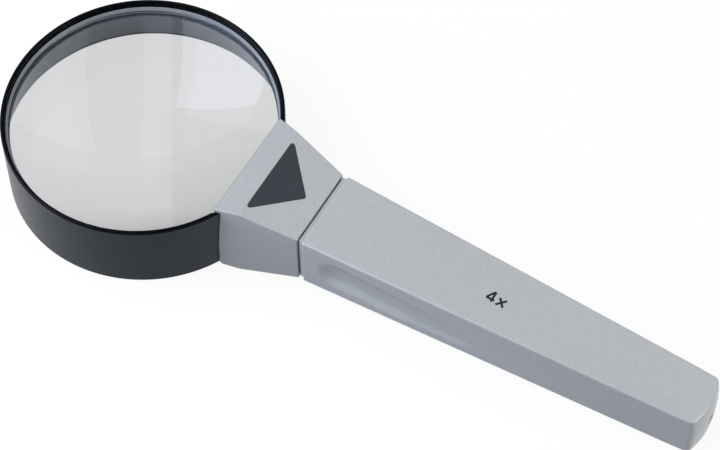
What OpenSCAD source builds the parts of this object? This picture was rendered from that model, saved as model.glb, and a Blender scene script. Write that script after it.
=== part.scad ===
// Hand lens: a round two-element magnifier on a wedge-shaped neck with a tapering handle.
// Millimetres, +Z up, lying on the barrel's foot, handle along +X, origin under the middle of its length.

/* [Lens] */
// Diameter of the two lenses
lens_d = 73.4; // [60:0.2:90]
// Radius of the domed face of each lens
lens_curve = 120; // [70:1:160]
// Thickness of each lens at its edge
lens_edge = 3.7; // [1:0.1:4.5]
// Width of the flat margin round each dome
lens_margin = 0.8; // [0.6:0.1:2]
// Air gap between the tops of the two domes
lens_gap = 0.3; // [0.2:0.1:2]

/* [Barrel] */
// Wall of the barrel
barrel_wall = 1.15; // [0.9:0.05:2.5]
// How far the ledge and the retainer reach in over the edge of the lenses
ledge_w = 0.6; // [0.5:0.1:3]
// Thickness of the ledge that the lenses stand on
ledge_h = 1; // [0.8:0.1:3]
// Depth from the top of the rim down to the retainer
rim_recess = 1.8; // [1.6:0.1:5]
// Height of the rounded bead on the rim
bead_h = 0.6; // [0.4:0.1:1]
// Width and depth of the groove under the bead
bead_groove = 0.15; // [0.1:0.05:0.3]
// Chamfer round the barrel's foot
foot_chamfer = 0.4; // [0.2:0.1:0.8]

/* [Retainer] */
// Height of the ring that holds the lenses down
retainer_h = 1.05; // [0.8:0.05:3]
// Thickness of the retainer at its inner edge
retainer_lip = 0.2; // [0.1:0.05:0.5]
// Width of the flat top of the retainer
retainer_land = 0.15; // [0.1:0.05:0.4]
// Thickness of the cushion ring on each side of the lenses
cushion_t = 0.3; // [0.2:0.05:1]

/* [Neck] */
// Width of the neck at mid height where it meets the barrel
neck_front_w = 36; // [30:0.1:44]
// How far the lip reaches over the rim, ahead of where the sides meet the barrel
lip_reach = 0.8; // [0.2:0.1:1.2]
// Length of the neck behind its straight front edge
neck_len = 22.15; // [19:0.05:34]
// Length of the level top before it slopes down
neck_land = 6.7; // [4:0.1:8]
// Width of the foot at the crease, where the slope starts
neck_crease_w = 34.3; // [30:0.1:36]
// How far each side leans in from mid height to the top at the barrel
neck_lean = 0.55; // [0.3:0.05:2]
// How far each side draws in from mid height to the foot at the barrel
neck_tuck = 0.6; // [0.2:0.05:1.5]
// How far each side leans in at the crease
crease_lean = 1.5; // [0.5:0.05:2]
// Height of the level top over the rim
neck_rise = 0.38; // [0.2:0.02:1]
// Height of the foot over the surface at the barrel
neck_foot = 0.2; // [0.1:0.05:0.5]
// How far the neck's rear end stands inside the handle's outline
neck_step = 0.1; // [0:0.05:0.6]
// Radius of the neck's edges
neck_edge_r = 0.3; // [0.2:0.1:1]
// Thickness of the lip over the rim
lip_t = 1.1; // [0.8:0.1:1.6]

/* [Badge] */
// Width of the badge along the crease
badge_w = 22.4; // [14:0.2:24]
// Length of the badge down the slope
badge_len = 11.3; // [8:0.1:13]
// Distance from the crease to the badge
badge_gap = 0.15; // [0.1:0.05:1]
// Radius of the badge's corners
badge_corner = 0.8; // [0.4:0.1:1.5]
// Thickness of the badge
badge_t = 0.5; // [0.3:0.1:1]
// Depth of the badge's face below the neck's top
badge_sunk = 0.08; // [0.04:0.02:0.2]

/* [Joint] */
// Gap between the neck and the handle's spigot
joint_gap = 0.3; // [0.2:0.05:2]
// How far the collar in the gap stands inside the handle's outline
collar_inset = 1; // [0.6:0.1:2]
// Length of the spigot at the handle's front
spigot_len = 1.05; // [0.6:0.05:3]
// How far the spigot stands inside the handle's sides and underside
spigot_inset = 0.7; // [0.4:0.05:1.2]
// How far the spigot's top lies under the handle's top
spigot_drop = 0.25; // [0.1:0.05:0.8]
// Width of the joining plug
plug_w = 16.8; // [14:0.2:18]
// Height of the joining plug
plug_h = 11.6; // [9:0.2:13]
// Length of the plug inside the neck
plug_front = 6; // [3:0.1:6.4]
// Length of the plug inside the handle
plug_rear = 14; // [8:0.5:30]
// Wall of the plug
plug_wall = 1.8; // [1.2:0.1:2.6]

/* [Neck screws] */
// Thread diameter of the neck screws
screw_d = 2.9; // [2:0.1:4]
// Head diameter of the neck screws
screw_head_d = 5.6; // [4.4:0.1:7]
// Head height of the neck screws
screw_head_h = 2; // [1.2:0.1:2.4]
// Distance between the two screws
screw_pitch = 9.6; // [7.2:0.1:10.6]
// Bulkhead in the neck under the screw heads
bulkhead_t = 2.6; // [1.5:0.1:3]
// Length of the barrel's lug inside the neck
lug_len = 5; // [4:0.1:5.6]
// Width of the barrel's lug
lug_w = 22; // [15:0.5:24]
// Height of the barrel's lug
lug_h = 13; // [6:0.5:15]

/* [Handle] */
// Length of the handle
handle_len = 113.6; // [90:0.1:150]
// Width of the handle at the joint
handle_front_w = 24.1; // [23:0.1:26]
// Width of the handle at the tail
handle_rear_w = 15.2; // [14:0.1:22]
// Height of the handle at the joint
handle_front_h = 17.7; // [17:0.1:19]
// Height of the handle at the tail
handle_rear_h = 14.45; // [12:0.1:17]
// Height of the handle's underside over the surface
handle_lift = 1; // [0.6:0.1:1.6]
// Wall of the handle round its hollow
handle_wall = 2.2; // [1.5:0.1:3]
// Radius of the handle's edges
handle_edge_r = 0.6; // [0.4:0.1:1.2]
// Radius of the tail's corners seen from above
tail_corner_r = 1.1; // [0.8:0.1:4]
// How far the tail's end bows out, seen from above
tail_bow = 1.5; // [0.5:0.1:3]
// How far the tail's end bulges between its top and bottom edges
tail_bulge = 0.6; // [0.2:0.1:1.2]

/* [Scoop] */
// Distance from the joint to the front of the scoop
scoop_start = 5.7; // [3:0.1:20]
// Length over which the scoop runs out
scoop_run = 72; // [40:1:80]
// How far the scoop's axis lies under the joint's axis
scoop_drop = 1.3; // [0:0.1:2]
// Depth of the scoop at its front
scoop_depth = 1.4; // [0.5:0.1:1.6]
// Radius of the scoop's hollow
scoop_r = 10.6; // [8:0.1:20]
// Diameter of the moulding dimple in the tail
dimple_d = 2.8; // [1.5:0.1:4]
// Depth of the moulding dimple
dimple_depth = 0.5; // [0.3:0.1:1]

/* [Fit] */
// Clearance between pieces that nest in each other
fit = 0.15; // [0.1:0.05:0.3]

/* [Hidden] */

$fn = 96;
// Facets round the small spheres that the rounded shells are drawn over
soft_fn = 28;
// Sides of the bead's section
bead_fn = 12;
// Length that cuts run past the faces they leave through
past = 1;
// Space ahead of a blind bore's end
tip_room = 0.3;

// Radii of the barrel and of what it holds, seen along the lens axis
lens_r = lens_d / 2;
bore_r = lens_r + fit;
barrel_r = bore_r + barrel_wall;
aperture_r = lens_r - ledge_w;
dome_r = lens_r - lens_margin;
dome_h = lens_curve - sqrt(pow(lens_curve, 2) - pow(dome_r, 2));

// Heights of the lens set, from the foot up
lower_cushion_z = ledge_h;
lower_lens_z = lower_cushion_z + cushion_t;
spacer_z = lower_lens_z + lens_edge;
spacer_h = 2 * dome_h + lens_gap;
upper_lens_z = spacer_z + spacer_h;
upper_cushion_z = upper_lens_z + lens_edge;
retainer_z = upper_cushion_z + cushion_t;
barrel_h = retainer_z + retainer_h + rim_recess;

// Places along the handle, measured from the lens axis
neck_x0 = sqrt(pow(barrel_r, 2) - pow(neck_front_w / 2, 2)) - lip_reach;
crease_x = neck_x0 + neck_land;
neck_x1 = neck_x0 + neck_len;
spigot_x0 = neck_x1 + joint_gap;
handle_x0 = spigot_x0 + spigot_len;
handle_x1 = handle_x0 + handle_len;
lens_x = (barrel_r - handle_x1) / 2;

// Heights of the neck and of the axis through the joint
neck_top = barrel_h + neck_rise;
lip_z = neck_top - lip_t;
joint_z = handle_lift + handle_front_h / 2;
rear_top = handle_lift + handle_front_h - neck_step;
rear_foot = handle_lift + neck_step;
slope = atan((neck_top - rear_top) / (neck_x1 - crease_x));

// Screws, lug and bulkhead inside the neck
lug_x1 = barrel_r + lug_len;
bulkhead_x0 = lug_x1 + fit;
bulkhead_x1 = bulkhead_x0 + bulkhead_t;
pilot_x = barrel_r + tip_room;
screw_tip_x = pilot_x + tip_room;

// Handle's half width and top height at a distance from the lens axis
function along(x) = (x - handle_x0) / handle_len;
function half_w(x) = (handle_front_w + (handle_rear_w - handle_front_w) * along(x)) / 2;
function top_z(x) = handle_lift + handle_front_h + (handle_rear_h - handle_front_h) * along(x);

// Moves a piece from the lens axis to the part's own origin
module placed() {
    translate([lens_x, 0, 0]) children();
}

// Upright cylinder from one height to another
module drum(r, z0, z1) {
    translate([0, 0, z0]) cylinder(r = r, h = z1 - z0);
}

// Flat ring between two radii
module flat_ring(r_in, r_out, z0, h) {
    difference() {
        drum(r_out, z0, z0 + h);
        drum(r_in, z0 - past, z0 + h + past);
    }
}

// Rod along +X
module rod(d, x0, x1) {
    translate([x0, 0, 0]) rotate([0, 90, 0]) cylinder(d = d, h = x1 - x0);
}

// Block that is centred on the joint's axis
module joint_block(x0, x1, w, h) {
    translate([x0, -w / 2, joint_z - h / 2]) cube([x1 - x0, w, h]);
}

// Puts its children at both screws
module at_screws() {
    for (side = [-1, 1]) translate([0, side * screw_pitch / 2, joint_z]) children();
}

// Both sides of the part
module both_sides() {
    children();
    mirror([0, 1, 0]) children();
}

// Section of the tube's wall, with the ledge, the groove and the half-round bead
module barrel_section() {
    bead_r = barrel_wall / 2;
    difference() {
        union() {
            polygon([
                [bore_r, 0], [barrel_r - foot_chamfer, 0], [barrel_r, foot_chamfer],
                [barrel_r, barrel_h - bead_r], [bore_r, barrel_h - bead_r]
            ]);
            translate([aperture_r, 0]) square([bore_r + bead_r - aperture_r, ledge_h]);
            translate([bore_r + bead_r, barrel_h - bead_r]) circle(bead_r, $fn = bead_fn);
        }
        translate([barrel_r - bead_groove, barrel_h - bead_h - bead_groove]) square([past, bead_groove]);
    }
}

module lens_barrel() {
    notch_w = neck_front_w - 2 * neck_lean + 2 * fit;
    color([0.13, 0.14, 0.16]) placed() difference() {
        union() {
            rotate_extrude() barrel_section();
            difference() {
                joint_block(bore_r - past, lug_x1, lug_w, lug_h);
                drum(bore_r + barrel_wall / 2, 0, barrel_h);
            }
        }
        at_screws() rod(screw_d + fit, pilot_x, lug_x1 + past);
        translate([neck_x0 - fit, -notch_w / 2, lip_z - fit]) cube([barrel_r, notch_w, barrel_h]);
    }
}

module lens_retainer() {
    color([0.2, 0.21, 0.23]) placed() rotate_extrude() polygon([
        [aperture_r, retainer_z], [lens_r, retainer_z], [lens_r, retainer_z + retainer_h],
        [lens_r - retainer_land, retainer_z + retainer_h], [aperture_r, retainer_z + retainer_lip]
    ]);
}

module upper_cushion() {
    color([0.08, 0.08, 0.09]) placed() flat_ring(aperture_r + fit, lens_r, upper_cushion_z, cushion_t);
}

module lower_cushion() {
    color([0.08, 0.08, 0.09]) placed() flat_ring(aperture_r + fit, lens_r, lower_cushion_z, cushion_t);
}

// Lens with its flat face down and its dome up
module half_lens() {
    drum(lens_r, 0, lens_edge);
    intersection() {
        translate([0, 0, lens_edge + dome_h - lens_curve]) sphere(lens_curve);
        drum(dome_r, lens_edge / 2, lens_edge + dome_h);
    }
}

module upper_lens() {
    color([0.85, 0.9, 0.92, 0.4]) placed() translate([0, 0, upper_cushion_z]) mirror([0, 0, 1]) half_lens();
}

module lower_lens() {
    color([0.85, 0.9, 0.92, 0.4]) placed() translate([0, 0, lower_lens_z]) half_lens();
}

module lens_spacer() {
    color([0.1, 0.1, 0.11]) placed() flat_ring(dome_r, lens_r, spacer_z, spacer_h);
}

// Four small spheres just inside the corners of one cross section of the neck
module neck_corners(x, foot_w, lean, foot, top) {
    both_sides() {
        translate([x, foot_w / 2 - neck_edge_r, foot + neck_edge_r]) sphere(neck_edge_r, $fn = soft_fn);
        translate([x, foot_w / 2 - lean - neck_edge_r, top - neck_edge_r]) sphere(neck_edge_r, $fn = soft_fn);
    }
}

// Outer skin of the neck, from the barrel's width to the handle's
module neck_skin() {
    hull() {
        neck_corners(neck_x0 + neck_edge_r, neck_front_w - 2 * neck_tuck, neck_lean - neck_tuck, neck_foot, neck_top);
        both_sides() translate([neck_x0 + neck_edge_r, neck_front_w / 2 - neck_edge_r, neck_top / 2])
            sphere(neck_edge_r, $fn = soft_fn);
        neck_corners(crease_x, neck_crease_w, crease_lean, 0, neck_top);
        neck_corners(neck_x1 - neck_edge_r, handle_front_w - 2 * neck_step, neck_step, rear_foot, rear_top);
    }
}

// Rounded triangle on the neck's slope, its base along the crease
module badge_shape(grow, depth, h) {
    corner = badge_corner + grow;
    base = badge_gap + badge_corner;
    tip = badge_gap + badge_len - badge_corner;
    half = badge_w / 2 - badge_corner;
    translate([crease_x, 0, neck_top]) rotate([0, slope, 0]) translate([0, 0, -depth])
        linear_extrude(h) hull() {
            for (side = [-1, 1]) translate([base, side * half]) circle(corner, $fn = soft_fn);
            translate([tip, 0]) circle(corner, $fn = soft_fn);
        }
}

module neck_shell() {
    color([0.72, 0.74, 0.75]) placed() difference() {
        neck_skin();
        drum(barrel_r + fit, -past, lip_z);
        joint_block(neck_x0, bulkhead_x0, lug_w + 2 * fit, lug_h + 2 * fit);
        joint_block(bulkhead_x1, neck_x1 + past, plug_w + 2 * fit, plug_h + 2 * fit);
        at_screws() rod(screw_d + 2 * fit, bulkhead_x0 - past, bulkhead_x1 + past);
        badge_shape(fit / 2, badge_sunk + badge_t, badge_sunk + badge_t + past);
    }
}

module neck_badge() {
    color([0.2, 0.22, 0.25]) placed() badge_shape(0, badge_sunk + badge_t, badge_t);
}

module neck_screws() {
    color([0.7, 0.7, 0.72]) placed() at_screws() {
        rod(screw_d, screw_tip_x, bulkhead_x1 + tip_room);
        rod(screw_head_d, bulkhead_x1, bulkhead_x1 + screw_head_h);
    }
}

module joining_plug() {
    plug_x0 = neck_x1 - plug_front;
    plug_x1 = handle_x0 + plug_rear;
    collar_w = handle_front_w - 2 * collar_inset;
    collar_h = handle_front_h - 2 * collar_inset;
    color([0.16, 0.17, 0.19]) placed() difference() {
        union() {
            joint_block(plug_x0, plug_x1, plug_w, plug_h);
            joint_block(neck_x1, spigot_x0, collar_w, collar_h);
        }
        joint_block(plug_x0 - past, plug_x1 + past, plug_w - 2 * plug_wall, plug_h - 2 * plug_wall);
    }
}

// One layer of the tail's rounded end, at a share of the way from the mid height to an edge
module tail_layer(share) {
    r = handle_edge_r;
    edge_x = handle_x1 - tail_bulge;
    x = edge_x + tail_bulge * (1 - share * share);
    mid_z = (handle_lift + top_z(edge_x)) / 2;
    z = mid_z + share * (mid_z - handle_lift - r);
    corner_x = x - tail_bow - tail_corner_r;
    corner_y = half_w(edge_x - tail_bow) - tail_corner_r;
    for (step = [-3 : 3]) {
        y = step / 4 * half_w(handle_x1);
        translate([x - r - tail_bow * pow(step / 4, 2), y, z]) sphere(r, $fn = soft_fn);
    }
    both_sides() translate([corner_x, corner_y, z]) rotate_extrude($fn = soft_fn) intersection() {
        translate([tail_corner_r - r, 0]) circle(r, $fn = soft_fn);
        translate([0, -r]) square([tail_corner_r, 2 * r]);
    }
}

// Outer skin of the handle: a long taper with round edges and a bowed tail
module handle_skin() {
    r = handle_edge_r;
    hull() {
        both_sides() for (z = [handle_lift + r, top_z(handle_x0) - r])
            translate([handle_x0 + r, half_w(handle_x0) - r, z]) sphere(r, $fn = soft_fn);
        for (share = [-1, -0.5, 0, 0.5, 1]) tail_layer(share);
    }
}

// Short step at the handle's front that meets the collar
module spigot() {
    w = handle_front_w - 2 * spigot_inset;
    z0 = handle_lift + spigot_inset;
    z1 = top_z(handle_x0) - spigot_drop;
    translate([spigot_x0, -w / 2, z0]) cube([spigot_len + 2 * handle_edge_r, w, z1 - z0]);
}

// Hollow of one side's scoop: a trough with a ball-shaped front that runs out of the side
module scoop() {
    reach = scoop_r - scoop_depth;
    mouth = sqrt(scoop_r * scoop_r - reach * reach);
    ball_x = handle_x0 + scoop_start + mouth;
    ball_y = half_w(ball_x) + reach;
    end_x = ball_x + scoop_run;
    end_y = half_w(end_x) + scoop_r;
    trough = scoop_run + scoop_r;
    translate([ball_x, ball_y, joint_z - scoop_drop]) rotate([0, 90, atan2(end_y - ball_y, scoop_run)])
        rotate_extrude() intersection() {
            union() {
                circle(scoop_r);
                translate([-scoop_r, 0]) square([2 * scoop_r, trough]);
            }
            translate([0, -scoop_r]) square([scoop_r, trough + scoop_r]);
        }
}

// Hollow of the handle, with a straight mouth for the plug and a taper behind it
module handle_hollow() {
    mouth_w = plug_w + 2 * fit;
    mouth_h = plug_h + 2 * fit;
    mouth_x = handle_x0 + plug_rear + fit;
    end_x = handle_x1 - tail_bulge - tail_bow - 2 * handle_wall;
    end_w = 2 * (half_w(end_x) - scoop_depth - handle_wall);
    end_z = handle_lift + handle_wall;
    joint_block(spigot_x0 - past, mouth_x, mouth_w, mouth_h);
    hull() {
        joint_block(mouth_x - past, mouth_x, mouth_w, mouth_h);
        translate([end_x - past, -end_w / 2, end_z]) cube([past, end_w, top_z(end_x) - handle_wall - end_z]);
    }
}

module handle_shell() {
    tail_z = (handle_lift + top_z(handle_x1)) / 2;
    color([0.73, 0.75, 0.76]) placed() difference() {
        union() {
            handle_skin();
            spigot();
        }
        both_sides() scoop();
        handle_hollow();
        translate([0, 0, tail_z]) rod(dimple_d, handle_x1 - dimple_depth, handle_x1 + past);
    }
}

lens_barrel();
lens_retainer();
upper_cushion();
upper_lens();
lens_spacer();
lower_lens();
lower_cushion();
neck_shell();
neck_badge();
neck_screws();
joining_plug();
handle_shell();
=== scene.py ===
import math

import bmesh
import bpy
from mathutils import Matrix, Vector


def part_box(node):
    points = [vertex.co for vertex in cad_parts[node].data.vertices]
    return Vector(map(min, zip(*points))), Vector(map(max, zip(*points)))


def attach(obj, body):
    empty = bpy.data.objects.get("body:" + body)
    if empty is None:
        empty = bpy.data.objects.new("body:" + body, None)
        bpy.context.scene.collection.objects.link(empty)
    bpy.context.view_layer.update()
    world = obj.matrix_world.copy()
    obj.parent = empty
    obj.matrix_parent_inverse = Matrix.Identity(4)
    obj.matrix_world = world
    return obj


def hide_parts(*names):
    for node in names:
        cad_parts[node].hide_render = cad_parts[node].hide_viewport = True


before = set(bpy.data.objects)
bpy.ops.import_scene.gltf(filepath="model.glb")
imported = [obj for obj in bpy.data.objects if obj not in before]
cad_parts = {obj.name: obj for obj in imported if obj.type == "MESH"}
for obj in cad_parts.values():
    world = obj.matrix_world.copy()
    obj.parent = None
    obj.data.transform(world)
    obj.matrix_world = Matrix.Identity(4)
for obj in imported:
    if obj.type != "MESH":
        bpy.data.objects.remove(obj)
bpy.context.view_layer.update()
mm = 0.001

# places that every piece is measured from, read off the frame
barrelLow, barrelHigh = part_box("lens_barrel")
retainerLow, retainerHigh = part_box("lens_retainer")
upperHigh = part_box("upper_lens")[1]
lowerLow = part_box("lower_lens")[0]
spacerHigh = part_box("lens_spacer")[1]
neckLow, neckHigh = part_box("neck_shell")
handleLow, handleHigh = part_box("handle_shell")
barrelR = barrelHigh.y
lensX = barrelLow.x + barrelR      # the lens axis stands here, on y = 0
fit = 0.15 * mm                    # clearance between nested pieces
mergeReach = 0.001 * mm            # vertices closer than this become one
holeSteps = 48                     # sides of a small round hole
softSteps = 2                      # steps of a softened edge
levelZ = 0.985                     # a face that points up more than this is no part of a round
nearTurn = 0.15                    # how far a round's face turns to a side before it belongs to it
faceWeight = 90                    # how strongly the large faces rule the normals at their rims
print("frame loaded, lens axis at x =", round(lensX / mm, 2), "mm")


# camera at the photograph's viewing angle
camera = {
    "place": (206.62 * mm, -338.11 * mm, 639.46 * mm),
    "turn": 31.297,                     # degrees, as are the next two
    "tilt": 32.565,
    "roll": -1.296,
    "lens": 141.14,                     # focal length for this sensor width
    "sensor": 36.0,
    "clip": 0.01,
}


def addCamera():
    data = bpy.data.cameras.new("camera")
    data.lens = camera["lens"]
    data.sensor_width = camera["sensor"]
    data.sensor_fit = "HORIZONTAL"
    data.clip_start = camera["clip"]
    viewer = bpy.data.objects.new("camera", data)
    viewer.location = camera["place"]
    turn = Matrix.Rotation(math.radians(camera["turn"]), 3, "Z")
    tilt = Matrix.Rotation(math.radians(camera["tilt"]), 3, "X")
    roll = Matrix.Rotation(math.radians(camera["roll"]), 3, "Z")
    viewer.rotation_euler = (turn @ tilt @ roll).to_euler()
    bpy.context.scene.collection.objects.link(viewer)
    bpy.context.scene.camera = viewer


addCamera()
print("camera set")


# modelling helpers
def clearSelection():
    if bpy.context.mode != "OBJECT":
        bpy.ops.object.mode_set(mode="OBJECT")
    bpy.ops.object.select_all(action="DESELECT")


def holdPiece(piece):
    clearSelection()
    piece.select_set(True)
    bpy.context.view_layer.objects.active = piece


def placePiece(piece, place, turn):
    # moves and turns a finished mesh, and keeps that in its vertices
    holdPiece(piece)
    piece.location = place
    piece.rotation_euler = turn
    bpy.ops.object.transform_apply(location=True, rotation=True, scale=True)


def openPiece(name):
    # the primitive just added gets its name, and its place goes into its mesh
    piece = bpy.context.object
    piece.name = name
    piece.data.name = name
    bpy.ops.object.transform_apply(location=True, rotation=True, scale=True)
    bpy.ops.object.mode_set(mode="EDIT")
    bpy.ops.mesh.select_mode(type="VERT")
    bpy.ops.mesh.select_all(action="SELECT")
    return piece


def addBlock(name, low, high):
    clearSelection()
    low, high = Vector(low), Vector(high)
    bpy.ops.mesh.primitive_cube_add(size=1, location=(low + high) / 2, scale=high - low)
    return openPiece(name)


def addRod(name, radius, start, end, steps):
    clearSelection()
    start, end = Vector(start), Vector(end)
    lie = (end - start).to_track_quat("Z", "Y").to_euler()
    bpy.ops.mesh.primitive_cylinder_add(
        vertices=steps, radius=radius, depth=(end - start).length,
        location=(start + end) / 2, rotation=lie)
    return openPiece(name)


def middle(item):
    if isinstance(item, bmesh.types.BMFace):
        return item.calc_center_median()
    if isinstance(item, bmesh.types.BMEdge):
        return (item.verts[0].co + item.verts[1].co) / 2
    return item.co


def pick(kind, test):
    # selects the verts, edges or faces whose middle passes the test
    bpy.ops.mesh.select_mode(type=kind)
    bpy.ops.mesh.select_all(action="DESELECT")
    mesh = bmesh.from_edit_mesh(bpy.context.object.data)
    found = {"VERT": mesh.verts, "EDGE": mesh.edges, "FACE": mesh.faces}[kind]
    for item in found:
        if test(middle(item), item):
            item.select_set(True)
    mesh.select_flush_mode()
    bmesh.update_edit_mesh(bpy.context.object.data)


def near(a, b, reach=0.01 * mm):
    return abs(a - b) < reach


def radiusAt(point):
    return math.hypot(point.x - lensX, point.y)


def runsRound(edge):
    # both ends lie equally far from the lens axis
    return near(radiusAt(edge.verts[0].co), radiusAt(edge.verts[1].co))


def sharpEdges(angle):
    bpy.ops.mesh.select_mode(type="EDGE")
    bpy.ops.mesh.select_all(action="DESELECT")
    bpy.ops.mesh.edges_select_sharp(sharpness=math.radians(angle))


def roundOff(size, steps):
    bpy.ops.mesh.bevel(offset=size, segments=steps, profile=0.5)


def cutAcross(places, normal):
    for place in places:
        bpy.ops.mesh.select_all(action="SELECT")
        bpy.ops.mesh.bisect(plane_co=place, plane_no=normal)


def turnSection(name, section, steps):
    # draws half a section vertex by vertex and spins it round the lens axis
    clearSelection()
    startR, startZ = section[0]
    bpy.ops.mesh.primitive_plane_add(size=mm, location=(lensX + startR, 0, startZ))
    piece = openPiece(name)
    bpy.ops.mesh.merge(type="CENTER")
    for (r0, z0), (r1, z1) in zip(section, section[1:]):
        bpy.ops.mesh.extrude_vertices_move(TRANSFORM_OT_translate={"value": (r1 - r0, 0, z1 - z0)})
    bpy.ops.mesh.select_all(action="SELECT")
    bpy.ops.mesh.spin(steps=steps, angle=2 * math.pi, center=(lensX, 0, 0), axis=(0, 0, 1))
    bpy.ops.mesh.select_all(action="SELECT")
    bpy.ops.mesh.remove_doubles(threshold=mergeReach)
    bpy.ops.mesh.normals_make_consistent(inside=False)
    return piece


def joinCut(piece, tool, operation):
    holdPiece(piece)
    cut = piece.modifiers.new("cut", "BOOLEAN")
    cut.operation = operation
    cut.solver = "EXACT"
    cut.object = tool
    bpy.ops.object.modifier_apply(modifier=cut.name)
    bpy.data.objects.remove(tool, do_unlink=True)


def smoothPiece(piece, angle=40):
    # flat faces keep their own normals, only the rounded edges shade across
    holdPiece(piece)
    bpy.ops.object.shade_smooth_by_angle(angle=math.radians(angle))
    weigh = piece.modifiers.new("weigh", "WEIGHTED_NORMAL")
    weigh.keep_sharp = True
    weigh.weight = faceWeight
    bpy.ops.object.modifier_apply(modifier=weigh.name)


def seatPiece(piece, node, slot, *finishes):
    for finish in finishes:
        piece.data.materials.append(finish)
    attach(piece, "root")
    if node:
        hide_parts(node)
    print("made", piece.name, "with", len(piece.data.polygons), "faces")


# shader maths: a socket that takes part in expressions
class Signal:
    def __init__(self, finish, socket):
        self.finish = finish
        self.socket = socket

    def math(self, operation, first, second):
        return self.finish.node("ShaderNodeMath", {"operation": operation}, {0: first, 1: second})

    def __add__(self, other):
        return self.math("ADD", self, other)

    def __radd__(self, other):
        return self.math("ADD", other, self)

    def __mul__(self, other):
        return self.math("MULTIPLY", self, other)

    def __rmul__(self, other):
        return self.math("MULTIPLY", other, self)


class Finish:
    def __init__(self, name):
        self.material = bpy.data.materials.new(name)
        self.material.use_nodes = True
        self.tree = self.material.node_tree
        self.tree.nodes.clear()

    def node(self, kind, settings=None, sockets=None, output=0):
        made = self.tree.nodes.new(kind)
        for key, value in (settings or {}).items():
            setattr(made, key, value)
        for key, value in (sockets or {}).items():
            if isinstance(value, Signal):
                self.tree.links.new(value.socket, made.inputs[key])
            else:
                made.inputs[key].default_value = value
        return Signal(self, made.outputs[output])

    def place(self):
        return self.node("ShaderNodeTexCoord", output="Object")

    def noise(self, scale, detail):
        return self.node("ShaderNodeTexNoise", {"noise_dimensions": "3D"},
                         {"Vector": self.place(), "Scale": scale, "Detail": detail})

    def cells(self, scale):
        return self.node("ShaderNodeTexVoronoi", {"feature": "F1"},
                         {"Vector": self.place(), "Scale": scale, "Randomness": 1.0}, output="Color")

    def ray(self, kind):
        return self.node("ShaderNodeLightPath", output=kind)

    def fade(self, value, low, high):
        return self.node("ShaderNodeMapRange", {"clamp": True}, {0: value, 1: low, 2: high})

    def blend(self, share, dark, pale):
        return self.node("ShaderNodeMix", {"data_type": "RGBA", "clamp_factor": True},
                         {0: share, 6: dark, 7: pale}, output=2)

    def bump(self, height, distance, strength):
        return self.node("ShaderNodeBump", None,
                         {"Height": height, "Distance": distance, "Strength": strength})

    def surface(self, sockets):
        return self.node("ShaderNodeBsdfPrincipled", None, sockets)

    def close(self, shader):
        output = self.tree.nodes.new("ShaderNodeOutputMaterial")
        self.tree.links.new(shader.socket, output.inputs["Surface"])
        return self.material


# finishes
def silverLacquer(name, tone):
    lacquer = Finish(name)
    flakes = lacquer.node("ShaderNodeSeparateColor", None, {0: lacquer.cells(scale=5200)})
    mottle = lacquer.noise(scale=900, detail=3)
    cloud = lacquer.noise(scale=28, detail=2)
    glint = flakes * 0.4 + mottle * 0.35 + cloud * 0.25
    dark = (0.425 * tone, 0.440 * tone, 0.455 * tone, 1)
    pale = (0.495 * tone, 0.510 * tone, 0.525 * tone, 1)
    colour = lacquer.blend(lacquer.fade(glint, low=0.25, high=0.75), dark, pale)
    roughness = 0.32 + 0.08 * mottle
    return lacquer.close(lacquer.surface({
        "Base Color": colour, "Metallic": 0.06, "Roughness": roughness,
        "Specular IOR Level": 0.2, "Coat Weight": 0.18 + 0.08 * mottle, "Coat Roughness": 0.1,
        "Normal": lacquer.bump(flakes * 0.4 + mottle, distance=0.004 * mm, strength=0.5)}))


def paintedEdgeShade():
    # painted shade: a darker copy of the lacquer on the neck's rounds that turn to the far side or the
    # front
    edge = Finish("paintedEdgeShade")
    mottle = edge.noise(scale=2400, detail=3)
    colour = edge.blend(mottle, dark=(0.17, 0.18, 0.19, 1), pale=(0.24, 0.25, 0.265, 1))
    return edge.close(edge.surface({
        "Base Color": colour, "Metallic": 0.2, "Roughness": 0.45 + 0.1 * mottle,
        "Specular IOR Level": 0.2}))


def edgeGlossAndHighlight():
    # a smoother coat on the rounds of the near side and the tail, whose slightly lighter colour is a
    # painted highlight
    edge = Finish("edgeGlossAndHighlight")
    mottle = edge.noise(scale=2400, detail=3)
    colour = edge.blend(mottle, dark=(0.44, 0.455, 0.47, 1), pale=(0.51, 0.525, 0.54, 1))
    return edge.close(edge.surface({
        "Base Color": colour, "Metallic": 0.06, "Roughness": 0.32 + 0.08 * mottle,
        "Specular IOR Level": 0.3, "Coat Weight": 0.9 + 0.1 * mottle, "Coat Roughness": 0.12}))


def barrelBlack():
    black = Finish("barrelBlack")
    grain = black.noise(scale=5200, detail=2)
    patch = black.noise(scale=45, detail=2)
    colour = black.blend(0.7 * grain + 0.3 * patch,
                         dark=(0.0055, 0.0090, 0.0165, 1), pale=(0.0085, 0.0132, 0.0230, 1))
    return black.close(black.surface({
        "Base Color": colour, "Roughness": 0.28 + 0.1 * grain, "Specular IOR Level": 0.165,
        "Specular Tint": (0.70, 0.85, 1.0, 1),
        "Normal": black.bump(grain, distance=0.004 * mm, strength=0.6)}))


def rimBlack():
    rim = Finish("rimBlack")
    haze = rim.noise(scale=700, detail=3)
    colour = rim.blend(haze, dark=(0.0016, 0.0020, 0.0040, 1), pale=(0.003, 0.0036, 0.006, 1))
    return rim.close(rim.surface({
        "Base Color": colour, "Roughness": 0.2 + 0.08 * haze, "Specular IOR Level": 0.06}))


def retainerGrey():
    grey = Finish("retainerGrey")
    haze = grey.noise(scale=1800, detail=3)
    colour = grey.blend(haze, dark=(0.24, 0.265, 0.295, 1), pale=(0.30, 0.325, 0.355, 1))
    return grey.close(grey.surface({
        "Base Color": colour, "Roughness": 0.32 + 0.1 * haze, "Specular IOR Level": 0.4}))


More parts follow.
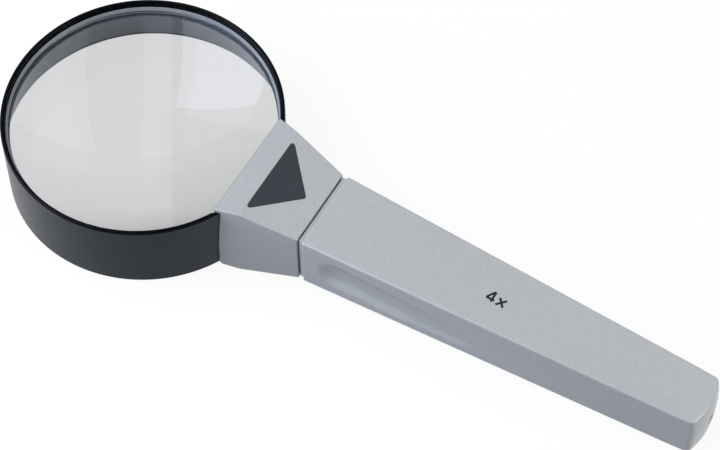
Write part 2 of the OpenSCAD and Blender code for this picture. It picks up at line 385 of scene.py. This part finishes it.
def spacerBlack():
    inside = Finish("spacerBlack")
    patch = inside.noise(scale=40, detail=2)
    colour = inside.blend(patch, dark=(0.092, 0.106, 0.145, 1), pale=(0.110, 0.125, 0.165, 1))
    return inside.close(inside.surface({
        "Base Color": colour, "Roughness": 0.3 + 0.06 * patch, "Specular IOR Level": 0.3}))


def lensGlass():
    # the light that falls through is plain, so the paper under the lens stays evenly lit
    glass = Finish("lensGlass")
    # the glass's grey tint is painted shade: it darkens the paper seen through the lens, which the floor's
    # glow keeps bright
    clear = glass.surface({
        "Base Color": (0.832, 0.838, 0.847, 1), "Roughness": 0.0,
        "Transmission Weight": 1.0, "IOR": 1.62, "Specular Tint": (0.50, 0.54, 0.62, 1)})
    through = glass.node("ShaderNodeBsdfTransparent", None, {"Color": (0.86, 0.865, 0.87, 1)})
    plain = glass.ray("Is Shadow Ray") + glass.ray("Is Diffuse Ray")
    return glass.close(glass.node("ShaderNodeMixShader", None, {0: plain, 1: clear, 2: through}))


def badgeCharcoal():
    film = Finish("badgeCharcoal")
    grain = film.noise(scale=4200, detail=2)
    colour = film.blend(grain, dark=(0.026, 0.032, 0.042, 1), pale=(0.034, 0.042, 0.053, 1))
    return film.close(film.surface({
        "Base Color": colour, "Roughness": 0.34 + 0.1 * grain, "Specular IOR Level": 0.3,
        "Normal": film.bump(grain, distance=0.003 * mm, strength=0.5)}))


def plugBlack():
    plug = Finish("plugBlack")
    grain = plug.noise(scale=2600, detail=2)
    colour = plug.blend(grain, dark=(0.11, 0.116, 0.126, 1), pale=(0.14, 0.147, 0.158, 1))
    return plug.close(plug.surface({
        "Base Color": colour, "Roughness": 0.55 + 0.12 * grain,
        "Normal": plug.bump(grain, distance=0.008 * mm, strength=0.6)}))


def cushionRubber():
    rubber = Finish("cushionRubber")
    grain = rubber.noise(scale=3000, detail=3)
    colour = rubber.blend(grain, dark=(0.060, 0.066, 0.080, 1), pale=(0.080, 0.087, 0.102, 1))
    return rubber.close(rubber.surface({
        "Base Color": colour, "Roughness": 0.75 + 0.15 * grain, "Specular IOR Level": 0.25}))


def screwSteel():
    steel = Finish("screwSteel")
    lines = steel.noise(scale=1500, detail=4)
    colour = steel.blend(lines, dark=(0.52, 0.52, 0.53, 1), pale=(0.66, 0.66, 0.67, 1))
    return steel.close(steel.surface({
        "Base Color": colour, "Metallic": 1.0, "Roughness": 0.28 + 0.14 * lines}))


def markInk():
    ink = Finish("markInk")
    grain = ink.noise(scale=5000, detail=2)
    colour = ink.blend(grain, dark=(0.010, 0.012, 0.020, 1), pale=(0.018, 0.021, 0.032, 1))
    return ink.close(ink.surface({
        "Base Color": colour, "Roughness": 0.5 + 0.1 * grain, "Specular IOR Level": 0.2}))


silver = silverLacquer("silverLacquer", tone=1.0)
neckSilver = silverLacquer("neckLacquer", tone=0.97)
glossAndHighlightEdge = edgeGlossAndHighlight()
print("finishes ready")


# barrel: tube with a ledge at the foot, a fine groove and a half-round bead at the rim
barrel = {
    "wall": 1.15 * mm,
    "ledgeIn": 36.1 * mm,
    "ledgeH": 1.0 * mm,
    "footRound": 0.4 * mm,
    "footSteps": 4,
    "grooveDrop": 0.6 * mm,
    "grooveSize": 0.15 * mm,
    "edgeSoft": 0.1 * mm,
    "beadShare": 0.495,                 # just under half the wall, so that two rounds make the bead
    "beadSteps": 10,
    "turnSteps": 288,
    "lugLen": 5.0 * mm,
    "lugW": 22.0 * mm,
    "lugH": 13.0 * mm,
    "screwPitch": 9.6 * mm,
    "pilotR": 1.525 * mm,
    "pilotEnd": 0.3 * mm,
    "jointZ": 9.85 * mm,                # height of the line through lug, screws and plug
    "lipThick": 1.1 * mm,
    "notchW": 35.2 * mm,
}
boreR = barrelR - barrel["wall"]
neckFrontX = neckLow.x
lipZ = neckHigh.z - barrel["lipThick"]


def makeBarrel():
    top = barrelHigh.z
    grooveTop = top - barrel["grooveDrop"]
    grooveR = barrelR - barrel["grooveSize"]
    grooveFoot = grooveTop - barrel["grooveSize"]
    piece = turnSection("barrel", [
        (barrel["ledgeIn"], 0), (barrelR, 0), (barrelR, grooveFoot), (grooveR, grooveFoot),
        (grooveR, grooveTop), (barrelR, grooveTop), (barrelR, top), (boreR, top),
        (boreR, barrel["ledgeH"]), (barrel["ledgeIn"], barrel["ledgeH"]), (barrel["ledgeIn"], 0),
    ], barrel["turnSteps"])
    pick("EDGE", lambda at, edge: near(at.z, top) and runsRound(edge))
    roundOff(barrel["wall"] * barrel["beadShare"], barrel["beadSteps"])
    pick("EDGE", lambda at, edge: near(at.z, 0) and radiusAt(at) > boreR and runsRound(edge))
    roundOff(barrel["footRound"], barrel["footSteps"])
    pick("EDGE", lambda at, edge: near(at.z, barrel["ledgeH"]) and radiusAt(at) < boreR - 2 * fit
         and runsRound(edge))
    roundOff(barrel["edgeSoft"], softSteps)

    # lug with two pilot holes, inside the neck
    lugX1 = lensX + barrelR + barrel["lugLen"]
    lugZ = barrel["jointZ"] - barrel["lugH"] / 2
    lug = addBlock("lug", (lensX + boreR + barrel["wall"] / 2, -barrel["lugW"] / 2, lugZ),
                   (lugX1, barrel["lugW"] / 2, lugZ + barrel["lugH"]))
    joinCut(piece, lug, "UNION")
    for side in (-1, 1):
        y = side * barrel["screwPitch"] / 2
        pilotX = lensX + barrelR + barrel["pilotEnd"]
        pilot = addRod("pilot", barrel["pilotR"], (pilotX, y, barrel["jointZ"]),
                       (lugX1 + mm, y, barrel["jointZ"]), holeSteps)
        joinCut(piece, pilot, "DIFFERENCE")

    # the rim stops short under the neck's lip
    notchHalf = barrel["notchW"] / 2
    notch = addBlock("notch", (neckFrontX - fit, -notchHalf, lipZ - fit),
                     (neckFrontX + barrelR, notchHalf, barrelHigh.z + mm))
    joinCut(piece, notch, "DIFFERENCE")
    smoothPiece(piece)
    seatPiece(piece, "lens_barrel", "barrel_black", barrelBlack(), rimBlack())
    for face in piece.data.polygons:        # the bead and the bore are deep black
        if face.center.z > grooveFoot or (radiusAt(face.center) < boreR + fit and face.center.z > mm):
            face.material_index = 1


makeBarrel()


# retainer: ring with a conical face that holds the lenses down
retainer = {
    "innerR": 36.1 * mm,
    "lip": 0.2 * mm,
    "land": 0.15 * mm,
    "soft": 0.05 * mm,
    "turnSteps": 288,
}


def makeRetainer():
    inner, outer = retainer["innerR"], retainerHigh.y
    foot, top = retainerLow.z, retainerHigh.z
    piece = turnSection("retainer", [
        (inner, foot), (outer, foot), (outer, top), (outer - retainer["land"], top),
        (inner, foot + retainer["lip"]), (inner, foot),
    ], retainer["turnSteps"])
    sharpEdges(angle=25)
    roundOff(retainer["soft"], softSteps)
    smoothPiece(piece)
    seatPiece(piece, "lens_retainer", "retainer_grey", retainerGrey())


makeRetainer()


# lenses: two plano-convex halves, domes facing each other
lens = {
    "curveR": 120 * mm,
    "edge": 3.7 * mm,
    "margin": 0.8 * mm,
    "chamfer": 0.15 * mm,
    "domeSteps": 40,
    "turnSteps": 192,
    "smooth": 12,                       # degrees up to which neighbouring faces shade as one
}


def makeLens(name, node, flatZ, up, glass):
    # up is 1 where the dome points up from the flat face, and -1 where it hangs down
    outer = upperHigh.y
    domeR = outer - lens["margin"]
    domeH = lens["curveR"] - math.sqrt(lens["curveR"] ** 2 - domeR ** 2)
    cut = lens["chamfer"]
    section = [(0, 0), (outer - cut, 0), (outer, cut), (outer, lens["edge"] - cut),
               (outer - cut, lens["edge"])]
    for step in range(lens["domeSteps"] + 1):
        r = domeR * (1 - step / lens["domeSteps"])
        rise = math.sqrt(lens["curveR"] ** 2 - r ** 2) - lens["curveR"] + domeH
        section.append((r, lens["edge"] + rise))
    section = [(r, flatZ + up * z) for r, z in section]
    piece = turnSection(name, section, lens["turnSteps"])
    smoothPiece(piece, lens["smooth"])
    seatPiece(piece, node, "lens_glass", glass)


glass = lensGlass()
makeLens("upperLens", "upper_lens", upperHigh.z, -1, glass)
makeLens("lowerLens", "lower_lens", lowerLow.z, 1, glass)


# spacer: tube that keeps the lenses apart at their rims
spacer = {"wall": 0.8 * mm, "soft": 0.1 * mm, "turnSteps": 288}


def makeSpacer():
    outer = spacerHigh.y
    inner = outer - spacer["wall"]
    foot, top = lowerLow.z + lens["edge"], upperHigh.z - lens["edge"]
    piece = turnSection("spacer", [
        (inner, foot), (outer, foot), (outer, top), (inner, top), (inner, foot)], spacer["turnSteps"])
    sharpEdges(angle=25)
    roundOff(spacer["soft"], softSteps)
    smoothPiece(piece)
    seatPiece(piece, "lens_spacer", "spacer_black", spacerBlack())


makeSpacer()


# neck: wedge from the barrel's width to the handle's, with a lip over the rim
neck = {
    "frontW": 36.0 * mm,
    "creaseW": 34.3 * mm,
    "land": 6.7 * mm,                   # level part of the top, from the front to the crease
    "flare": 2.0 * mm,                  # the foot is widest this far behind the front
    "flareW": 36.2 * mm,
    "lean": 1.3 * mm,                   # how far the top edge stands inside the front's width
    "tuck": 0.6 * mm,                   # how far the front's foot does
    "creaseLean": 2.15 * mm,
    "foot": 0.2 * mm,
    "step": 0.1 * mm,
    "edgeRound": 0.3 * mm,
    "edgeSteps": 4,
    "belly": (0.2, 0.35, 0.5, 0.65, 0.8),   # shares of the height at which the front bulges
    "rearTop": 19.0 * mm,
    "rearFoot": 0.7 * mm,
    "bulkhead": 2.6 * mm,
    "plugW": 16.8 * mm,
    "plugH": 11.6 * mm,
    "screwR": 1.6 * mm,
    "saddleSteps": 360,
    "roundZ": 0.2,                      # a round's face points up at least this much
    "farTurn": 0.2,                     # turned this far to the far side or the front, it is darker
}
creaseX = neckFrontX + neck["land"]
neckRearX = neckHigh.x
neckTop = neckHigh.z
slope = math.atan2(neckTop - neck["rearTop"], neckRearX - creaseX)


def shapeSection(x, footHalf, topHalf, footZ, topZ, oldHalf):
    # narrows one cross section of the neck and sets its heights
    half = neckTop / 2
    for upper, width, level, was in ((False, footHalf, footZ, 0.0), (True, topHalf, topZ, neckTop)):
        pick("VERT", lambda at, vert: near(at.x, x) and (at.z > half) == upper)
        bpy.ops.transform.resize(value=(1, width / oldHalf, 1), center_override=(x, 0, was))
        bpy.ops.transform.translate(value=(0, 0, level - was))


def makeNeck():
    frontHalf = neck["frontW"] / 2
    rearHalf = handleHigh.y - neck["step"]
    piece = addBlock("neck", (neckFrontX, -frontHalf, 0), (neckRearX, frontHalf, neckTop))
    flareX = neckFrontX + neck["flare"]
    cutAcross([(flareX, 0, 0), (creaseX, 0, 0)], (1, 0, 0))
    frontTop = frontHalf - neck["lean"]
    creaseHalf = neck["creaseW"] / 2
    creaseTop = creaseHalf - neck["creaseLean"]
    flareShare = neck["flare"] / neck["land"]
    flareTop = frontTop * (1 - flareShare) + creaseTop * flareShare
    shapeSection(neckFrontX, frontHalf - neck["tuck"], frontTop, neck["foot"], neckTop, frontHalf)
    shapeSection(flareX, neck["flareW"] / 2, flareTop, neck["foot"] / 2, neckTop, frontHalf)
    shapeSection(creaseX, creaseHalf, creaseTop, 0, neckTop, frontHalf)
    shapeSection(neckRearX, rearHalf, rearHalf - neck["step"], neck["rearFoot"], neck["rearTop"], frontHalf)
    cutAcross([(0, 0, share * neckTop) for share in neck["belly"]], (0, 0, 1))
    for share in neck["belly"]:
        bulge = 1 - (2 * share - 1) ** 2
        widen = 1 + bulge * neck["tuck"] / frontHalf
        pick("VERT", lambda at, vert: near(at.x, neckFrontX) and near(at.z, share * neckTop))
        bpy.ops.transform.resize(value=(1, widen, 1), center_override=(neckFrontX, 0, 0))
    sharpEdges(angle=12)
    roundOff(neck["edgeRound"], neck["edgeSteps"])

    # saddle for the barrel under the lip, pockets for lug and plug, screw holes, recess for the badge
    saddle = addRod("saddle", barrelR + fit, (lensX, 0, -mm), (lensX, 0, lipZ), neck["saddleSteps"])
    joinCut(piece, saddle, "DIFFERENCE")
    jointZ = barrel["jointZ"]
    lugHalf, lugTall = barrel["lugW"] / 2 + fit, barrel["lugH"] / 2 + fit
    bulkheadX = lensX + barrelR + barrel["lugLen"] + fit
    pocket = addBlock("pocket", (neckFrontX, -lugHalf, jointZ - lugTall),
                      (bulkheadX, lugHalf, jointZ + lugTall))
    joinCut(piece, pocket, "DIFFERENCE")
    plugHalf, plugTall = neck["plugW"] / 2 + fit, neck["plugH"] / 2 + fit
    socketX = bulkheadX + neck["bulkhead"]
    socket = addBlock("socket", (socketX, -plugHalf, jointZ - plugTall),
                      (neckRearX + mm, plugHalf, jointZ + plugTall))
    joinCut(piece, socket, "DIFFERENCE")
    for side in (-1, 1):
        y = side * barrel["screwPitch"] / 2
        hole = addRod("hole", neck["screwR"], (bulkheadX - mm, y, jointZ),
                      (socketX + mm, y, jointZ), holeSteps)
        joinCut(piece, hole, "DIFFERENCE")
    recess = badgePlate("recess", fit / 2, -badge["sunk"] - badge["thick"], mm)
    joinCut(piece, recess, "DIFFERENCE")
    smoothPiece(piece)
    seatPiece(piece, "neck_shell", "silver_lacquer", neckSilver, paintedEdgeShade(), glossAndHighlightEdge)
    for face in piece.data.polygons:        # the bevels round the level top and the slope
        turned = neck["roundZ"] < face.normal.z < levelZ and face.center.z > neck["rearTop"] - mm
        # rounds that turn to the far side or the front get the painted shade
        if turned and (face.normal.y > neck["farTurn"] or face.normal.x < -neck["farTurn"]):
            face.material_index = 1
        # rounds that turn to the near side get the smoother coat with its painted highlight
        elif turned and face.normal.y < -nearTurn:
            face.material_index = 2


# badge: bare charcoal film in a shallow recess on the neck's slope
badge = {
    "width": 22.4 * mm,
    "length": 11.3 * mm,
    "gap": 0.15 * mm,                   # from the crease
    "corner": 0.8 * mm,
    "cornerSteps": 8,
    "thick": 0.5 * mm,
    "sunk": 0.08 * mm,
    "soft": 0.06 * mm,
}


def badgePlate(name, grow, low, high):
    # rounded triangle laid on the neck's slope, from one height to another over it
    corner = badge["corner"] + grow
    baseX = badge["gap"] - grow
    halfBase = badge["width"] / 2 - badge["corner"]
    rise = badge["length"] - 2 * badge["corner"]
    baseAngle = math.atan2(rise, halfBase)
    baseRun = corner / math.tan(baseAngle / 2)      # from a sharp corner to where its rounding starts
    tipRun = corner * math.tan(baseAngle)
    sharpHalf = halfBase + baseRun
    sharpRise = sharpHalf * math.tan(baseAngle)
    firstRise, firstBase = 1.5 * mm, math.sqrt(3) * mm      # of the even triangle that it starts from
    clearSelection()
    bpy.ops.mesh.primitive_circle_add(vertices=3, radius=mm, fill_type="NGON", location=(0, 0, low),
                                      rotation=(0, 0, -math.pi / 2))
    piece = openPiece(name)
    bpy.ops.transform.resize(value=(sharpRise / firstRise, 2 * sharpHalf / firstBase, 1),
                             center_override=(0, 0, low))
    bpy.ops.transform.translate(value=(baseX + sharpRise / 3, 0, 0))
    for tip, run in ((True, tipRun), (False, baseRun)):
        pick("VERT", lambda at, vert: (at.x > baseX + sharpRise / 2) == tip and len(vert.link_edges) == 2
             and (tip or near(abs(at.y), sharpHalf)))
        bpy.ops.mesh.bevel(offset=run, offset_type="ABSOLUTE", affect="VERTICES",
                           segments=badge["cornerSteps"], profile=0.5)
    bpy.ops.mesh.select_all(action="SELECT")
    bpy.ops.mesh.extrude_region_move(TRANSFORM_OT_translate={"value": (0, 0, high - low)})
    bpy.ops.mesh.select_all(action="SELECT")
    bpy.ops.mesh.normals_make_consistent(inside=False)
    placePiece(piece, (creaseX, 0, neckTop), (0, slope, 0))
    return piece


def makeBadge():
    piece = badgePlate("badge", 0, -badge["sunk"] - badge["thick"], -badge["sunk"])
    bpy.ops.object.mode_set(mode="EDIT")
    sharpEdges(angle=60)
    roundOff(badge["soft"], softSteps)
    smoothPiece(piece)
    seatPiece(piece, "neck_badge", "badge_charcoal", badgeCharcoal())


makeNeck()
makeBadge()


# handle: long taper with round edges, a bowed tail and a scoop in each side
handle = {
    "rise": 0.4 * mm,                   # the top stands this much over the CAD node's,
    "sink": 0.4 * mm,                   # the foot this much under it
    "spread": 0.05 * mm,                # and each side this much outside it
    "rearW": 15.3 * mm,
    "rearH": 15.25 * mm,
    "edgeRound": 0.6 * mm,
    "edgeSteps": 5,
    "tailCorner": 1.1 * mm,
    "tailSteps": 8,
    "tailBow": 1.5 * mm,
    "tailBulge": 0.6 * mm,
    "tailReach": 6.0 * mm,
    "wall": 2.2 * mm,
    "spigotLen": 1.05 * mm,
    "spigotInset": 0.7 * mm,
    "spigotDrop": 0.25 * mm,
    "spigotSoft": 0.08 * mm,
    "spigotSteps": 3,
    "plugDeep": 14.15 * mm,
    "rows": 40,                         # grid over the sides, less the rows that the edges' rounds take up
    "edgeRows": 2,
    "fineStep": 1.0 * mm,
    "coarseStep": 4.0 * mm,
    "tailColumns": 16,
    "sideReach": 0.02 * mm,             # vertices this close to the side's plane are hollowed
    "dimpleR": 1.4 * mm,
    "dimpleDeep": 0.35 * mm,
    "gateR": 0.55 * mm,
    "gateDeep": 0.5 * mm,
    "dimpleSoft": 0.5,                  # share of a dimple's depth that its foot is rounded by
    "dimpleSteps": 4,
    "roundZ": 0.25,                     # a round's face points up at least this much
}
scoop = {
    "start": 5.2 * mm,
    "run": 66.0 * mm,
    "runOut": 12.0 * mm,                # the fine grid goes on this far behind it
    "drop": 0.2 * mm,
    "sag": 0.07,                        # how much the hollow's middle sinks per length behind its front
    "depth": 1.6 * mm,
    "radius": 10.6 * mm,
    "soft": 0.14 * mm,
}
handleX0, handleX1 = handleLow.x + handle["spigotLen"], handleHigh.x
handleLen = handleX1 - handleX0
handleFrontW = 2 * (handleHigh.y + handle["spread"])
handleFoot = handleLow.z - handle["sink"]
handleFrontH = handleHigh.z + handle["rise"] - handleFoot


def along(x):
    return (x - handleX0) / handleLen


def halfWidth(x):
    return (handleFrontW + (handle["rearW"] - handleFrontW) * along(x)) / 2


def height(x):
    return handleFrontH + (handle["rearH"] - handleFrontH) * along(x)


def scoopDepth(x, z):
    # how deep the soft-edged hollow is at a place on the side
    radius, depth = scoop["radius"], scoop["depth"]
    reach = radius - depth
    ballX = handleX0 + scoop["start"] + math.sqrt(radius ** 2 - reach ** 2)
    back = max(0.0, x - ballX)
    ahead = max(0.0, ballX - x)
    shallow = depth * (1 - back / scoop["run"])
    axisZ = barrel["jointZ"] - scoop["drop"] - scoop["sag"] * back
    inside = radius ** 2 - (z - axisZ) ** 2 - ahead ** 2
    dip = math.sqrt(max(0.0, inside)) - (radius - shallow)
    return (dip + math.hypot(dip, scoop["soft"])) / 2


def makeHandle():
    half = handleFrontW / 2
    piece = addBlock("handle", (handleX0, -half, handleFoot), (handleX1, half, handleFoot + handleFrontH))
    pick("VERT", lambda at, vert: near(at.x, handleX1))
    bpy.ops.transform.resize(value=(1, handle["rearW"] / handleFrontW, handle["rearH"] / handleFrontH),
                             center_override=(handleX1, 0, handleFoot))
    pick("EDGE", lambda at, edge: near(at.x, handleX1) and near(abs(at.y), handle["rearW"] / 2))
    roundOff(handle["tailCorner"], handle["tailSteps"])
    sharpEdges(angle=30)
    roundOff(handle["edgeRound"], handle["edgeSteps"])

    # grid lines for the scoops and the tail
    fineEnd = scoop["start"] + scoop["run"] + scoop["runOut"]
    fineCount = int(fineEnd / handle["fineStep"])
    stations = [handleX0 + handle["fineStep"] * (n + 1) for n in range(fineCount)]
    while stations[-1] < handleX1 - 2 * handle["coarseStep"]:
        stations.append(stations[-1] + handle["coarseStep"])
    tailX = handleX1 - handle["tailCorner"] - handle["edgeRound"]
    cutAcross([(x, 0, 0) for x in stations] + [(tailX, 0, 0)], (1, 0, 0))
    for row in range(handle["edgeRows"], handle["rows"] - handle["edgeRows"] + 1):
        share = row / handle["rows"]
        drop = share * (handleFrontH - handle["rearH"])
        cutAcross([(handleX0, 0, handleFoot + share * handleFrontH)], (drop, 0, handleLen))
    outerColumn = handle["tailColumns"] // 2 - handle["edgeRows"]
    for column in range(-outerColumn, outerColumn + 1):
        pick("FACE", lambda at, face: at.x > tailX)
        columnY = column * handle["rearW"] / handle["tailColumns"]
        bpy.ops.mesh.bisect(plane_co=(0, columnY, 0), plane_no=(0, 1, 0))

    # sculpted moves: hollow the sides and bow the tail
    mesh = bmesh.from_edit_mesh(piece.data)
    tall = height(handleX1) / 2
    for vert in mesh.verts:
        at = vert.co
        side = halfWidth(at.x) - abs(at.y)
        if side < handle["sideReach"]:
            at.y -= math.copysign(scoopDepth(at.x, at.z), at.y)
        pull = min(1.0, max(0.0, (at.x - tailX + handle["tailReach"]) / handle["tailReach"]))
        bow = handle["tailBow"] * min(1.0, abs(at.y) / halfWidth(handleX1)) ** 2
        bulge = handle["tailBulge"] * min(1.0, abs(at.z - handleFoot - tall) / tall) ** 2
        at.x -= pull * (bow + bulge)
    bmesh.update_edit_mesh(piece.data)

    # short step at the front that meets the joint's collar
    stepHalf = half - handle["spigotInset"]
    spigot = addBlock("spigot", (handleLow.x, -stepHalf, handleFoot + handle["spigotInset"]),
                      (handleX0 + 2 * handle["edgeRound"], stepHalf, handleHigh.z - handle["spigotDrop"]))
    pick("EDGE", lambda at, edge: near(at.x, handleLow.x))
    roundOff(handle["spigotSoft"], handle["spigotSteps"])
    joinCut(piece, spigot, "UNION")

    # hollow for the plug, and the moulding dimple in the tail
    plugHalf, plugTall = neck["plugW"] / 2 + fit, neck["plugH"] / 2 + fit
    mouthX = handleX0 + handle["plugDeep"]
    endX = handleX1 - handle["tailBulge"] - handle["tailBow"] - 2 * handle["wall"]
    jointZ = barrel["jointZ"]
    hollow = addBlock("hollow", (handleLow.x - mm, -plugHalf, jointZ - plugTall),
                      (mouthX, plugHalf, jointZ + plugTall))
    pick("FACE", lambda at, face: near(at.x, mouthX))
    bpy.ops.mesh.extrude_region_move(TRANSFORM_OT_translate={"value": (endX - mouthX, 0, 0)})
    endHalf = halfWidth(endX) - scoop["depth"] - handle["wall"]
    endTall = height(endX) / 2 - handle["wall"]
    bpy.ops.transform.resize(value=(1, endHalf / plugHalf, endTall / plugTall),
                             center_override=(endX, 0, jointZ))
    bpy.ops.transform.translate(value=(0, 0, handleFoot + height(endX) / 2 - jointZ))
    joinCut(piece, hollow, "DIFFERENCE")
    tailZ = handleFoot + height(handleX1) / 2
    for radius, deep in ((handle["dimpleR"], handle["dimpleDeep"]), (handle["gateR"], handle["gateDeep"])):
        dimple = addRod("dimple", radius, (handleX1 - deep, 0, tailZ), (handleX1 + mm, 0, tailZ), holeSteps)
        pick("EDGE", lambda at, edge: near(edge.verts[0].co.x, handleX1 - deep)
             and near(edge.verts[1].co.x, handleX1 - deep))
        roundOff(deep * handle["dimpleSoft"], handle["dimpleSteps"])
        joinCut(piece, dimple, "DIFFERENCE")
    smoothPiece(piece)
    seatPiece(piece, "handle_shell", "silver_lacquer", silver, glossAndHighlightEdge)
    for face in piece.data.polygons:        # the rounds along the near side and the tail
        turned = handle["roundZ"] < face.normal.z < levelZ
        # the smoother coat with its painted highlight goes on these rounds
        if turned and (face.normal.y < -nearTurn or face.normal.x > nearTurn):
            face.material_index = 1


makeHandle()


# printed power mark on the handle's top
mark = {
    "middle": 108 * mm,                 # from the lens axis
    "weight": 0.62 * mm,
    "thick": 0.02 * mm,
    "strokes": (                        # a figure 4 and a cross, from the lens axis in mm
        ((107.04, 0.94), (107.04, -2.30)),
        ((106.92, 0.86), (105.44, -1.48)),
        ((105.32, -1.56), (107.74, -1.56)),
        ((108.48, -2.38), (110.66, -0.04)),
        ((108.64, -0.02), (110.56, -2.38)),
    ),
}


def makeMark():
    middleX = lensX + mark["middle"]
    fall = math.atan2(handleFrontH - handle["rearH"], handleLen)
    piece = None
    for start, end in mark["strokes"]:
        start, end = Vector(start) * mm, Vector(end) * mm
        run = end - start
        bar = addBlock("stroke", (-run.length / 2, -mark["weight"] / 2, -mark["thick"] / 2),
                       (run.length / 2, mark["weight"] / 2, mark["thick"] / 2))
        placePiece(bar, ((start.x + end.x) / 2 + lensX - middleX, (start.y + end.y) / 2, 0),
                   (0, 0, math.atan2(run.y, run.x)))
        if piece:
            joinCut(piece, bar, "UNION")
        else:
            piece = bar
    piece.name = "powerMark"
    piece.data.name = "powerMark"
    placePiece(piece, (middleX, 0, handleFoot + height(middleX)), (0, fall, 0))
    seatPiece(piece, None, "badge_charcoal", markInk())


makeMark()


# nodes that keep their own shape get their finish
def dressNode(node, finish):
    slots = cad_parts[node].data.materials
    slots.clear()
    slots.append(finish)


rubber = cushionRubber()
dressNode("upper_cushion", rubber)
dressNode("lower_cushion", rubber)
dressNode("neck_screws", screwSteel())
dressNode("joining_plug", plugBlack())
print("inner pieces dressed")


# floor, light and world
studio = {
    "floorSize": 8.0,
    "floorDrop": 0.02 * mm,
    "floorSeen": (0.95, 0.95, 0.955, 1),
    "floorBounce": (0.11, 0.125, 0.16, 1),
    "floorGlow": 0.9,
    "floorThrough": 0.88,
    "worldColour": (0.88, 0.95, 1.08, 1),
    "worldLight": 0.04,
    "boxTurn": 32.3,
    "boxHigh": 0.9,
}
# softboxes, in metres: the overhead ones by their inner edge across the ceiling, the rest by place and aim
plainWhite = (1, 1, 1)
overheads = (
    {"name": "overLeft", "edge": -0.0518, "side": -1,
     "wide": 1.3, "long": 2.2, "glow": 0.90, "colour": plainWhite},
    {"name": "overMid", "edge": 0.30, "side": 1,
     "wide": 1.2, "long": 2.0, "glow": 1.08, "colour": plainWhite},
)
fills = (
    {"name": "keyBox", "place": (-0.64, -0.34, 0.85), "aim": (0.0, 0.0, 0.0),
     "wide": 1.0, "long": 0.8, "glow": 2.7, "colour": plainWhite},
    {"name": "leftClose", "place": (-0.34, -0.24, 0.15), "aim": (-0.03, 0.0, 0.01),
     "wide": 0.3, "long": 0.22, "glow": 4.2, "colour": (0.78, 0.95, 1.28)},
    {"name": "tailFill", "place": (1.12, 0.08, 0.22), "aim": (0.1, 0.0, 0.0),
     "wide": 0.7, "long": 0.5, "glow": 5.2, "colour": plainWhite},
)


def makeFloor():
    # rays that are seen meet white paper that keeps the shadow, and bounced light meets a darker one
    clearSelection()
    bpy.ops.mesh.primitive_plane_add(size=studio["floorSize"], location=(0, 0, -studio["floorDrop"]))
    floor = bpy.context.object
    floor.name = "floor"
    paper = Finish("floorPaper")
    tooth = paper.noise(scale=300, detail=2)
    plain = paper.ray("Is Camera Ray") + paper.ray("Is Glossy Ray")
    through = paper.ray("Is Transmission Ray")
    sheet = paper.surface({
        "Base Color": paper.blend(plain + through, studio["floorBounce"], studio["floorSeen"]),
        "Roughness": 0.85 + 0.1 * tooth, "Specular IOR Level": 0.0})
    white = paper.node("ShaderNodeEmission", None, {"Color": (1, 1, 1, 1), "Strength": 1.0})
    share = studio["floorGlow"] * plain + studio["floorThrough"] * through
    floor.data.materials.append(paper.close(
        paper.node("ShaderNodeMixShader", None, {0: share, 1: sheet, 2: white})))


def addSoftbox(box):
    data = bpy.data.lights.new(box["name"], "AREA")
    data.shape = "RECTANGLE"
    data.size = box["wide"]
    data.size_y = box["long"]
    data.color = box["colour"]
    data.energy = box["glow"] * math.pi * box["wide"] * box["long"]
    lamp = bpy.data.objects.new(box["name"], data)
    bpy.context.scene.collection.objects.link(lamp)
    return lamp


def makeOverhead(box):
    # hangs over one side, its straight edge shows as a reflection in the glass
    lamp = addSoftbox(box)
    turn = math.radians(studio["boxTurn"])
    across = box["edge"] + box["side"] * box["wide"] / 2
    lamp.location = (lensX + across * math.cos(turn), across * math.sin(turn), studio["boxHigh"])
    lamp.rotation_euler = (0, 0, turn)


def makeFill(box):
    lamp = addSoftbox(box)
    place = Vector(box["place"])
    lamp.location = place
    lamp.rotation_euler = (place - Vector(box["aim"])).to_track_quat("Z", "Y").to_euler()


def makeWorld():
    world = bpy.data.worlds.new("studio")
    world.use_nodes = True
    sky = world.node_tree.nodes["Background"]
    sky.inputs["Color"].default_value = studio["worldColour"]
    sky.inputs["Strength"].default_value = studio["worldLight"]
    bpy.context.scene.world = world


makeFloor()
for box in overheads:
    makeOverhead(box)
for box in fills:
    makeFill(box)
makeWorld()
bpy.context.scene.view_settings.view_transform = "Standard"
print("studio lit")

clearSelection()
